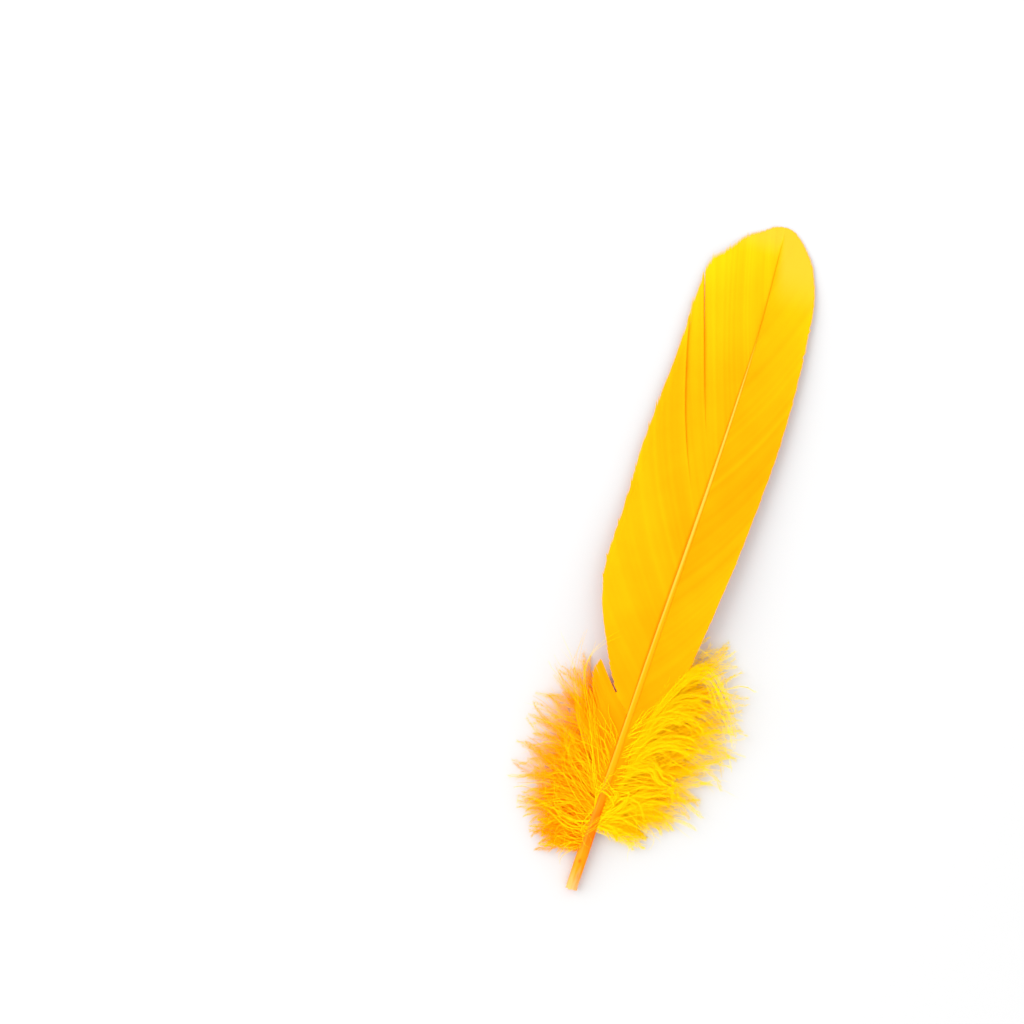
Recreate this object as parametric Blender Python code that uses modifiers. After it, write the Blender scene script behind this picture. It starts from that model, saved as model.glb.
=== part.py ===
"""A dyed goose quill feather lying on a flat surface, back side up.

Five solids: the horny shaft, the two webs (vanes) of barbs that leave its sides, and the two
tufts of loose down at the foot of the webs.

Frame: metres, +Z up, the surface is Z = 0. +Y runs from the cut end of the quill to the tip
of the vanes and +X to the right of that. The origin is under the middle of the whole feather.

The tables below are in millimetres, measured along the feather from the cut end and across it
from the straight line that joins the cut end to the tip.
"""

import math

import bmesh
import bpy
from mathutils import Vector

MM = 0.001
LENGTH = 175.0
MIDDLE_ACROSS = 3.18         # middle of the feather's own width, so that the box is centred
MIDDLE_ALONG = LENGTH / 2
GAP = 0.3                    # clear space between neighbouring solids

# Shaft: (along, across) of its gentle S, and (along, radius) of its taper.
SHAFT_START = 0.13           # the cut is square to the shaft, which rises from it
SHAFT_END = 172.0
SHAFT_LINE = ((0, -0.65), (30, -0.35), (60, 0.1), (95, 0.95), (125, 1.55), (148, 1.6), (172, 0.5))
SHAFT_TAPER = ((0, 1.42), (9, 1.5), (22, 1.4), (40, 1.15), (66, 1.05), (95, 0.72), (125, 0.46),
               (150, 0.3), (172, 0.18))
SHAFT_STATIONS = 44
SHAFT_ROUNDNESS = 3          # bevel resolution of the shaft's curve
ARCH = 5.6                   # rise of the shaft's middle above the straight line between its ends
TIP_HEIGHT = 0.2             # height of the shaft's centre at the tip
END_LIFT = 0.95              # height of its centre at the cut end, as a share of the radius
BORE_RADIUS = 1.05
BORE_DEPTH = 9.0
BORE_SIDES = 24

# Webs: each row is one barb line, (root along the shaft, tip across, tip along).
LEFT_BARBS = ((22, -7.0, 33), (27, -8.8, 40.5), (33, -11.0, 48), (40, -12.5, 56), (47, -13.4, 64),
              (54, -15.1, 72.5), (62, -16.9, 82), (72, -17.8, 94), (83, -17.6, 108),
              (94, -17.2, 124), (103, -16.5, 141), (110, -15.8, 156), (122, -12.6, 164.6),
              (138, -8.6, 169.5), (154, -4.4, 173.0), (166, -1.6, 174.7), (171.5, -0.2, 175))
RIGHT_BARBS = ((24, 5.2, 34.5), (32, 6.6, 44), (40, 8.8, 53), (49, 10.7, 64), (60, 12.4, 78),
               (73, 14.0, 94), (88, 15.1, 112), (104, 15.3, 130), (119, 14.5, 146),
               (132, 12.8, 159), (142, 10.3, 166.3), (152, 7.3, 170.8), (161, 4.2, 173.6),
               (167, 2.1, 174.6), (171.5, 0.6, 175))
WEB_THICKNESS = 0.45
WEB_ROWS = 56
WEB_COLUMNS = 7
BARB_SWEEP = 0.035           # how far a barb bows towards the tip, as a share of its length
ATTACH = 0.6                 # height of the webs on the shaft, as a share of its radius
CAMBER = 0.62                # share of the shaft's height that the margin of a web drops
CAMBER_LEAST = 0.2           # the same as a share of CAMBER, where the down holds the webs up
CAMBER_START = 45.0
CAMBER_FULL = 100.0
CAMBER_REACH = 17.0          # distance from the shaft at which the drop is whole
MARGIN_HEIGHT = 0.5

# Splits of the left web: (across, along) from the margin to the blind end, and the mouth's width.
SPLIT_STEPS = 8
SPLIT_BLIND_WIDTH = 0.12
BLADE_REACH = 12.0           # how far the cutting blade stands above and below the surface
SPLITS = (
    ("split_upper", ((-17.0, 160.6), (-12.5, 143.8), (-7.9, 132.0), (-3.4, 121.0)), 0.8),
    ("split_lower", ((-17.2, 149.5), (-14.6, 140.5), (-11.7, 130.2), (-7.4, 115.3)), 0.7),
    ("split_foot", ((-14.0, 62.6), (-9.6, 56.6), (-6.6, 53.0), (-4.0, 49.6)), 2.6),
)

# Down: each row is (inner across, inner along, outer across, outer along) of a closed tuft.
DOWN_LEFT = ((-2.8, 8.0, -8.6, 5.0), (-3.1, 14, -17.4, 11), (-3.4, 21, -20.0, 20),
             (-5.2, 30, -22.5, 30), (-10.0, 41, -21.2, 41), (-13.2, 51, -21.4, 52),
             (-14.9, 59, -18.4, 62), (-16.6, 66, -17.0, 68))
DOWN_RIGHT = ((2.2, 12, 9.4, 8.6), (2.4, 18, 17.4, 13.2), (2.8, 24, 23.8, 20.4),
              (4.6, 32, 28.8, 29.6), (8.4, 43, 27.8, 41.4), (11.4, 54, 26.2, 54),
              (13.2, 65, 20.8, 66), (14.6, 73, 16.0, 75))
DOWN_COLUMNS = 6
DOWN_HEIGHT = 6.4
DOWN_EDGE_HEIGHT = 1.4
DOWN_CROWN_ACROSS = 0.7      # the lower these two, the flatter the crown of a tuft
DOWN_CROWN_ALONG = 0.6
DOWN_CROWN_INSET = 0.1       # keeps the two ends of a tuft from coming to a point

# Plain colours and roughness of the three kinds of surface.
HORN_LOOK = ((1.0, 0.5, 0.04), 0.35)
WEB_LOOK = ((1.0, 0.6, 0.0), 0.6)
DOWN_LOOK = ((1.0, 0.65, 0.0), 0.8)


def smooth(points, at):
    """The value at `at` of a smooth curve through (position, value) points."""
    last = len(points) - 1
    if at <= points[0][0]:
        return points[0][1]
    if at >= points[last][0]:
        return points[last][1]
    i = next(k for k in range(last) if points[k + 1][0] >= at)
    (a, u), (b, v) = points[i], points[i + 1]
    before, after = points[max(i - 1, 0)], points[min(i + 2, last)]
    rise_a = (v - before[1]) / (b - before[0])
    rise_b = (after[1] - u) / (after[0] - a)
    step = b - a
    t = (at - a) / step
    return ((2 * t**3 - 3 * t**2 + 1) * u + (t**3 - 2 * t**2 + t) * step * rise_a
            + (3 * t**2 - 2 * t**3) * v + (t**3 - t**2) * step * rise_b)


def smooth_row(rows, share):
    """A row of numbers read at `share` (0 to 1) along a table of rows."""
    at = share * (len(rows) - 1)
    return [smooth(list(enumerate(column)), at) for column in zip(*rows)]


def place(across, along, height):
    """A point of the feather, in metres in the part's frame."""
    return Vector(((across - MIDDLE_ACROSS) * MM, (along - MIDDLE_ALONG) * MM, height * MM))


def shaft_across(along):
    """How far the shaft's centre stands from the straight line between the feather's ends."""
    return smooth(SHAFT_LINE, along)


def shaft_radius(along):
    """Radius of the shaft, which tapers from the bare quill to the tip."""
    return smooth(SHAFT_TAPER, along)


def shaft_height(along):
    """Height of the shaft's centre: it touches the surface only at its two ends."""
    start = END_LIFT * SHAFT_TAPER[0][1]
    straight = start + (TIP_HEIGHT - start) * along / SHAFT_END
    return straight + ARCH * math.sin(math.pi * min(along / SHAFT_END, 1.0))


def web_height(across, along):
    """Height of a web: level with the upper part of the shaft, falling away to its margin."""
    along_shaft = min(along, SHAFT_END)
    top = shaft_height(along_shaft) + ATTACH * shaft_radius(along_shaft)
    reach = abs(across - shaft_across(along_shaft)) / CAMBER_REACH
    held = (along - CAMBER_START) / (CAMBER_FULL - CAMBER_START)
    drop = CAMBER * max(CAMBER_LEAST, min(1.0, held))
    return top - drop * (top - MARGIN_HEIGHT) * min(reach, 1.0) ** 2


def new_object(name, data, collection, look):
    """An object with its own material, in the feather's collection."""
    colour, roughness = look
    item = bpy.data.objects.new(name, data)
    collection.objects.link(item)
    material = bpy.data.materials.new(name)
    material.use_nodes = True
    shader = material.node_tree.nodes["Principled BSDF"]
    shader.inputs["Base Color"].default_value = (*colour, 1.0)
    shader.inputs["Roughness"].default_value = roughness
    shader.inputs["Metallic"].default_value = 0.0
    data.materials.append(material)
    return item


def new_cutter(name, data, collection):
    """An object that only cuts: drawn as a wire and left out of the model."""
    item = bpy.data.objects.new(name, data)
    collection.objects.link(item)
    item.hide_render = True
    item.display_type = "WIRE"
    return item


def as_mesh(item):
    """A curve object made a welded mesh of the same name, in the same collection."""
    depsgraph = bpy.context.evaluated_depsgraph_get()
    mesh = bpy.data.meshes.new_from_object(item.evaluated_get(depsgraph))
    shape = bmesh.new()
    shape.from_mesh(mesh)
    bmesh.ops.remove_doubles(shape, verts=shape.verts, dist=1e-6)
    bmesh.ops.recalc_face_normals(shape, faces=shape.faces)
    shape.to_mesh(mesh)
    shape.free()
    solid = bpy.data.objects.new(item.name + "_mesh", mesh)
    solid.matrix_world = item.matrix_world
    solid.hide_render = item.hide_render
    solid.display_type = item.display_type
    for collection in item.users_collection:
        collection.objects.link(solid)
    name = item.name
    bpy.data.objects.remove(item)
    solid.name = name
    return solid


def cut(item, cutter):
    """Takes the cutter's volume out of the item."""
    boolean = item.modifiers.new("cut_" + cutter.name, "BOOLEAN")
    boolean.operation = "DIFFERENCE"
    boolean.solver = "EXACT"
    boolean.object = cutter


def quill_shaft(parts, cutters):
    """The shaft: a tapering curved rod, with the hollow of the quill open at its cut end."""
    curve = bpy.data.curves.new("quill_shaft", "CURVE")
    curve.dimensions = "3D"
    curve.bevel_depth = MM
    curve.bevel_resolution = SHAFT_ROUNDNESS
    curve.use_fill_caps = True
    line = curve.splines.new("POLY")
    line.points.add(SHAFT_STATIONS - 1)
    for i, point in enumerate(line.points):
        along = SHAFT_START + (SHAFT_END - SHAFT_START) * i / (SHAFT_STATIONS - 1)
        point.co = (*place(shaft_across(along), along, shaft_height(along)), 1.0)
        point.radius = shaft_radius(along)
    shaft = as_mesh(new_object("quill_shaft", curve, parts, HORN_LOOK))

    start = place(shaft_across(0), 0, shaft_height(0))
    inner = place(shaft_across(BORE_DEPTH), BORE_DEPTH, shaft_height(BORE_DEPTH))
    bore = bmesh.new()
    bmesh.ops.create_cone(bore, cap_ends=True, segments=BORE_SIDES, radius1=BORE_RADIUS * MM,
                          radius2=BORE_RADIUS * MM, depth=2 * BORE_DEPTH * MM)
    mesh = bpy.data.meshes.new("quill_bore")
    bore.to_mesh(mesh)
    bore.free()
    cutter = new_cutter("quill_bore", mesh, cutters)
    cutter.location = start
    cutter.rotation_mode = "QUATERNION"
    cutter.rotation_quaternion = (inner - start).to_track_quat("Z", "Y")
    cut(shaft, cutter)
    return shaft


def web(name, barbs, side, parts):
    """One web: a sheet ruled along its barbs from the shaft's side to its margin."""
    grid = bmesh.new()
    bmesh.ops.create_grid(grid, x_segments=WEB_COLUMNS, y_segments=WEB_ROWS, size=0.5)
    for vertex in grid.verts:
        out = vertex.co.x + 0.5
        root, tip_across, tip_along = smooth_row(barbs, vertex.co.y + 0.5)
        start = shaft_across(root) + side * (shaft_radius(root) + GAP)
        bow = BARB_SWEEP * (tip_along - root) * math.sin(math.pi * out) * side
        across = start + (tip_across - start) * out + bow
        along = root + (tip_along - root) * out
        vertex.co = place(across, along, web_height(across, along))
    bmesh.ops.recalc_face_normals(grid, faces=grid.faces)
    mesh = bpy.data.meshes.new(name)
    grid.to_mesh(mesh)
    grid.free()
    item = new_object(name, mesh, parts, WEB_LOOK)
    thick = item.modifiers.new("thickness", "SOLIDIFY")
    thick.thickness = WEB_THICKNESS * MM
    thick.offset = 0.0
    mesh.shade_smooth()
    return item


def split_cutter(name, line, mouth, cutters):
    """A tapering blade that stands through the web along a split."""
    curve = bpy.data.curves.new(name, "CURVE")
    curve.dimensions = "2D"
    curve.fill_mode = "BOTH"
    curve.extrude = BLADE_REACH * MM
    edge = curve.splines.new("POLY")
    shares = [i / SPLIT_STEPS for i in range(SPLIT_STEPS + 1)]
    row = [smooth_row(line, share) for share in shares]
    width = [mouth * (1 - share) + SPLIT_BLIND_WIDTH for share in shares]
    outline = [(x - w / 2, y) for (x, y), w in zip(row, width)]
    outline += [(x + w / 2, y) for (x, y), w in reversed(list(zip(row, width)))]
    edge.points.add(len(outline) - 1)
    for point, (x, y) in zip(edge.points, outline):
        point.co = (*place(x, y, 0), 1.0)
    edge.use_cyclic_u = True
    return as_mesh(new_cutter(name, curve, cutters))


def down(name, rows, parts):
    """One tuft of down: a low closed form, flat below, that reaches the tips of its barbs."""
    base = bmesh.new()
    bmesh.ops.create_grid(base, x_segments=DOWN_COLUMNS - 1, y_segments=len(rows) - 1, size=0.5)
    shares = {v: (v.co.x + 0.5, v.co.y + 0.5) for v in base.verts}
    for vertex, (out, up) in shares.items():
        in_across, in_along, out_across, out_along = smooth_row(rows, up)
        across = in_across + (out_across - in_across) * out
        along = in_along + (out_along - in_along) * out
        vertex.co = place(across, along, 0)
    lower = {tuple(round(c, 7) for c in v.co): share for v, share in shares.items()}
    raised = bmesh.ops.extrude_face_region(base, geom=base.faces[:])["geom"]
    for vertex in [v for v in raised if isinstance(v, bmesh.types.BMVert)]:
        out, up = lower[tuple(round(c, 7) for c in vertex.co)]
        inset = DOWN_CROWN_INSET + (1 - 2 * DOWN_CROWN_INSET) * up
        crown = abs(math.sin(math.pi * out)) ** DOWN_CROWN_ACROSS
        crown *= math.sin(math.pi * inset) ** DOWN_CROWN_ALONG
        vertex.co.z = (DOWN_EDGE_HEIGHT + (DOWN_HEIGHT - DOWN_EDGE_HEIGHT) * crown) * MM
    bmesh.ops.recalc_face_normals(base, faces=base.faces)
    mesh = bpy.data.meshes.new(name)
    base.to_mesh(mesh)
    base.free()
    item = new_object(name, mesh, parts, DOWN_LOOK)
    soft = item.modifiers.new("soft", "SUBSURF")
    soft.levels = 1
    soft.render_levels = 1
    mesh.shade_smooth()
    return item


def collection_named(name):
    """A new collection of the scene."""
    group = bpy.data.collections.new(name)
    bpy.context.scene.collection.children.link(group)
    return group


def main():
    """Builds the five solids in a collection of their own, and the cutters in another."""
    for item in list(bpy.data.objects):
        bpy.data.objects.remove(item)
    parts = collection_named("goose_quill_feather")
    cutters = collection_named("cutters")

    shaft = quill_shaft(parts, cutters)
    shaft.data.shade_smooth()
    left = web("vane_left", LEFT_BARBS, -1, parts)
    for name, line, mouth in SPLITS:
        cut(left, split_cutter(name, line, mouth, cutters))
    web("vane_right", RIGHT_BARBS, 1, parts)
    down("down_left", DOWN_LEFT, parts)
    down("down_right", DOWN_RIGHT, parts)


main()
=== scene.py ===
"""Looks of a dyed goose quill feather that lies flat, back side up, on a pale surface.

The feather is measured in millimetres: "along" from the cut end of the quill to the tip and
"across" from the straight line between the two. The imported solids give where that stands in
the row's frame. Each web is some hundreds of closed barbs laid like shingles, and the down is
loose barbs that carry fine barbules.
"""

import logging
import math
from dataclasses import dataclass
from enum import Enum

import bpy
import numpy as np
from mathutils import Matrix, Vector

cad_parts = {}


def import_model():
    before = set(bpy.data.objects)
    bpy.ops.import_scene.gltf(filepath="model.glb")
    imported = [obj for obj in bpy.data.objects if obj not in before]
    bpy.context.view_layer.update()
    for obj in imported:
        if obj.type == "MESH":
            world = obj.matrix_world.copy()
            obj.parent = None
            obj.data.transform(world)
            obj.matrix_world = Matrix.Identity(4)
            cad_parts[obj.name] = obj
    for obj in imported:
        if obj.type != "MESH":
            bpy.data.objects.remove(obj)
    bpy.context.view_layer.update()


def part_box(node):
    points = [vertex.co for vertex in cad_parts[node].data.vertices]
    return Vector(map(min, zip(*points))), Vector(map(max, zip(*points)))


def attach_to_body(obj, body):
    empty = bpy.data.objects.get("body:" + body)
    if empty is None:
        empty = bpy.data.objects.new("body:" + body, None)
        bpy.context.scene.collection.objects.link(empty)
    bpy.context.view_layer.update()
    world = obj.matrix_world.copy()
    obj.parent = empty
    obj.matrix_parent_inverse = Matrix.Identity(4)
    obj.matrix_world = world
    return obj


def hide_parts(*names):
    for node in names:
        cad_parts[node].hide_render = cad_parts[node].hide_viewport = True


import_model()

Array = np.ndarray
Random = np.random.Generator
Pair = tuple[float, float]
Socket = bpy.types.NodeSocket
Material = bpy.types.Material
Object = bpy.types.Object

LOG = logging.getLogger("goose_quill_feather")
MM = 0.001
LENGTH = 175.0
MIDDLE_ACROSS = 3.18
ROOT_BODY = "root"


class Side(Enum):
    """The two sides of the shaft, seen from above with the tip away from the eye."""

    LEFT = -1
    RIGHT = 1


# ---- Curves and arrays ----


def smooth(points: tuple, at: Array | float) -> Array:
    """Reads a smooth curve (Catmull-Rom) through (position, value) points.

    Args:
        points: Pairs of position and value, in rising order of position.
        at: One or many positions.

    Returns:
        The values there; past either end, the end's value.
    """
    table = np.array(points, float)
    x, y = table[:, 0], table[:, 1]
    at = np.clip(np.asarray(at, float), x[0], x[-1])
    i = np.clip(np.searchsorted(x, at, side="left") - 1, 0, len(x) - 2)
    before, after = np.maximum(i - 1, 0), np.minimum(i + 2, len(x) - 1)
    step = x[i + 1] - x[i]
    t = (at - x[i]) / step
    rise_a = (y[i + 1] - y[before]) / (x[i + 1] - x[before])
    rise_b = (y[after] - y[i]) / (x[after] - x[i])
    return ((2 * t**3 - 3 * t**2 + 1) * y[i] + (t**3 - 2 * t**2 + t) * step * rise_a
            + (3 * t**2 - 2 * t**3) * y[i + 1] + (t**3 - t**2) * step * rise_b)


def ease(low: float, high: float, value: Array) -> Array:
    """A soft step from 0 at low to 1 at high."""
    t = np.clip((np.asarray(value, float) - low) / (high - low), 0.0, 1.0)
    return t * t * (3 - 2 * t)


def drift(rng: Random, count: int, span: float) -> Array:
    """Random numbers that wander smoothly.

    Args:
        rng: The source of the numbers.
        count: How many.
        span: Over how many of them the wandering forgets itself.

    Returns:
        An array of about unit spread.
    """
    reach = int(4 * span) + 1
    window = np.exp(-0.5 * (np.arange(-reach, reach + 1) / span) ** 2)
    raw = np.convolve(rng.normal(size=count + 2 * reach), window, mode="valid")
    return raw / np.sqrt((window**2).sum())


def unit(vectors: Array) -> Array:
    """The vectors at length one."""
    return vectors / np.maximum(np.linalg.norm(vectors, axis=-1, keepdims=True), 1e-12)


ORIGIN = np.array([-MIDDLE_ACROSS * MM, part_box("vane_left")[1].y - LENGTH * MM, 0.0])


def world(points: Array) -> Array:
    """Feather millimetres (across, along, height) turned to metres in the row's frame."""
    return points * MM + ORIGIN


def mesh_object(name: str, points: Array, faces: list[Array],
                marks: dict[str, Array], rims: Array | None = None) -> Object:
    """Makes one joined mesh from arrays.

    Args:
        name: The object's name.
        points: Vertices (n, 3), feather millimetres.
        faces: Arrays of vertex numbers, one array for each count of corners.
        marks: Numbers for each vertex, kept as attributes for the materials.
        rims: Which vertices lie on a thin edge, between smooth faces; left out, all faces are
            flat, which suits strands thinner than the eye can part.

    Returns:
        The new object, at the origin.
    """
    mesh = bpy.data.meshes.new(name)
    mesh.vertices.add(len(points))
    mesh.vertices.foreach_set("co", world(points).astype(np.float32).ravel())
    corners = np.concatenate([f.ravel() for f in faces]).astype(np.int32)
    sizes = np.concatenate([np.full(len(f), f.shape[1]) for f in faces]).astype(np.int32)
    mesh.loops.add(len(corners))
    mesh.loops.foreach_set("vertex_index", corners)
    mesh.polygons.add(len(sizes))
    starts = np.append(0, np.cumsum(sizes)[:-1]).astype(np.int32)
    mesh.polygons.foreach_set("loop_start", starts)
    mesh.polygons.foreach_set("loop_total", sizes)
    mesh.update(calc_edges=True)
    mesh.validate()
    for mark, values in marks.items():
        mesh.attributes.new(mark, "FLOAT", "POINT").data.foreach_set(
            "value", np.asarray(values, np.float32).ravel())
    mesh.shade_flat()
    if rims is not None:
        mesh.shade_smooth()
        ends = np.empty(2 * len(mesh.edges), np.int32)
        mesh.edges.foreach_get("vertices", ends)
        sharp = mesh.attributes.new("sharp_edge", "BOOLEAN", "EDGE")
        sharp.data.foreach_set("value", rims[ends.reshape(-1, 2)].all(axis=1))
    item = bpy.data.objects.new(name, mesh)
    bpy.context.scene.collection.objects.link(item)
    return item


def tubes(rings: Array) -> tuple[Array, list[Array]]:
    """Closes many strands, each a run of rings that ends in a point.

    Args:
        rings: Vertices (strand, ring, corner, 3); each last ring becomes one point.

    Returns:
        The vertices and the face arrays, facing out where the corners run anticlockwise
        seen from the strand's root.
    """
    strands, count, corners, _ = rings.shape
    body = rings[:, :-1].reshape(strands, -1, 3)
    tips = rings[:, -1].mean(axis=1, keepdims=True)
    points = np.concatenate([body, tips], axis=1)
    each = points.shape[1]
    first = (np.arange(strands) * each)[:, None, None]
    ring = (np.arange(count - 2) * corners)[None, :, None]
    corner = np.arange(corners)[None, None, :]
    turn = (corner + 1) % corners
    quads = np.stack([first + ring + corner, first + ring + corners + corner,
                      first + ring + corners + turn, first + ring + turn], axis=-1)
    last = first[:, :, 0] + (count - 2) * corners
    fan = np.stack([last + corner[0], np.broadcast_to(last + corners, (strands, corners)),
                    last + turn[0]], axis=-1)
    root = first[:, :, 0] + corner[0]
    return points.reshape(-1, 3), [quads.reshape(-1, 4), fan.reshape(-1, 3), root]


# ---- Node trees ----

HORN_IOR = 1.54   # keratin


def linear(colour: str) -> tuple[float, float, float, float]:
    """Turns an sRGB hex colour to the linear values that a shader reads."""
    parts = [int(colour[i:i + 2], 16) / 255 for i in (1, 3, 5)]
    turned = [c / 12.92 if c <= 0.04045 else ((c + 0.055) / 1.055) ** 2.4 for c in parts]
    return (*turned, 1.0)


class Nodes:
    """A new material, and what adds to its nodes."""

    def __init__(self, name: str) -> None:
        """Starts a material with nothing but its output."""
        self.material = bpy.data.materials.new(name)
        self.material.use_nodes = True
        self.tree = self.material.node_tree
        self.tree.nodes.clear()
        self.output = self.tree.nodes.new("ShaderNodeOutputMaterial")

    def add(self, kind: str, inputs: dict, **settings: object) -> bpy.types.Node:
        """Adds a node.

        Args:
            kind: The node's type, without its "ShaderNode".
            inputs: For each input, by name or number, a value or the socket that feeds it.
            settings: The node's own settings.

        Returns:
            The node.
        """
        made = self.tree.nodes.new("ShaderNode" + kind)
        for name, value in settings.items():
            setattr(made, name, value)
        for key, value in inputs.items():
            if isinstance(value, Socket):
                self.tree.links.new(value, made.inputs[key])
            else:
                made.inputs[key].default_value = value
        return made

    def place(self) -> Socket:
        """Object coordinates."""
        return self.add("TexCoord", {}).outputs["Object"]

    def own(self, name: str) -> Socket:
        """A number that the mesh carries for each vertex."""
        return self.add("Attribute", {}, attribute_name=name).outputs["Fac"]

    def noise(self, place: Socket, scale: float, detail: float) -> Socket:
        """Cloudy noise."""
        inputs = {"Vector": place, "Scale": scale, "Detail": detail}
        return self.add("TexNoise", inputs).outputs["Fac"]

    def mixed(self, share: object, under: object, over: object) -> Socket:
        """The colour between two others, by a share of the second."""
        return self.add("Mix", {"Factor": share, "A": under, "B": over},
                        data_type="RGBA").outputs["Result"]

    def ramp(self, value: Socket, start: Pair, end: Pair) -> Socket:
        """A value that runs straight between two (position, result) points and no further."""
        return self.add("MapRange", {"Value": value, "From Min": start[0], "From Max": end[0],
                                     "To Min": start[1], "To Max": end[1]}).outputs[0]

    def maths(self, operation: str, *values: object, clamped: bool = False) -> Socket:
        """The result of one sum on numbers or sockets."""
        return self.add("Math", dict(enumerate(values)), operation=operation,
                        use_clamp=clamped).outputs[0]

    def relief(self, height: Socket, depth: float, rise: float) -> dict:
        """The Normal input that a bump gives, its rise in millimetres."""
        bump = self.add("Bump", {"Height": height, "Strength": depth, "Distance": rise * MM})
        return {"Normal": bump.outputs["Normal"]}

    def close(self, surface: bpy.types.Node) -> Material:
        """The material, with its surface joined to its output."""
        self.tree.links.new(surface.outputs[0], self.output.inputs["Surface"])
        return self.material

    def horn(self, finish: object, colour: Socket, relief: dict) -> Material:
        """Joins the surface of horn and the light that comes through it.

        Args:
            finish: Gives roughness, gloss, and the share of light that passes through.
            colour: The dyed colour of both.
            relief: The Normal input of both, or nothing.

        Returns:
            The material.
        """
        surface = self.add("BsdfPrincipled",
                           {"Base Color": colour, "Roughness": finish.roughness,
                            "IOR": HORN_IOR, "Specular IOR Level": finish.gloss, **relief})
        inside = self.add("BsdfTranslucent", {"Color": colour, **relief})
        return self.close(self.add("MixShader", {0: finish.through, 1: surface.outputs[0],
                                                 2: inside.outputs[0]}))


@dataclass(frozen=True)
class BarbFinish:
    """Dyed feather keratin as grown barbs: thin horn that light passes through.

    The dye bath leaves it one hue. What the eye gets is a silky matt yellow, deeper and more
    golden where barbs lie over each other or near the shaft, and paler where they catch light.
    On the webs the "tone" attribute paints this in: painted shade near the shaft and painted
    light towards the margin.
    """

    name: str
    deep: str
    bright: str
    roughness: float = 0.62
    gloss: float = 0.03
    through: float = 0.2
    barbule_mm: float = 0.16  # real barbules are 0.03 mm apart, drawn as coarse as shows
    barbule_depth: float = 0.25  # strength of their bump
    barbule_rise: float = 0.02  # its height, in millimetres
    mottle_mm: float = 9.0  # size of the cloudy patches that a dye bath leaves
    mottle: float = 0.28  # how far they shift the tone
    thin: str = ""  # colour where barbs are thinnest, by their "thin" attribute

    def build(self) -> Material:
        """Makes the material from the barbs' own "tone" (on webs, with painted shade and light) and
        "run" (mm) attributes.
        """
        nodes = Nodes(self.name)
        mottle = nodes.noise(nodes.place(), 1 / (self.mottle_mm * MM), 3.0)
        level = nodes.maths("MULTIPLY_ADD", mottle, self.mottle, nodes.own("tone"))
        level = nodes.maths("SUBTRACT", level, self.mottle / 2, clamped=True)
        colour = nodes.mixed(level, linear(self.deep), linear(self.bright))
        if self.thin:
            colour = nodes.mixed(nodes.own("thin"), colour, linear(self.thin))
        relief = {}
        if self.barbule_depth:
            turn = nodes.maths("MULTIPLY", nodes.own("run"), math.tau / self.barbule_mm)
            wave = nodes.maths("SINE", turn)
            relief = nodes.relief(wave, self.barbule_depth, self.barbule_rise)
        return nodes.horn(self, colour, relief)


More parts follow.
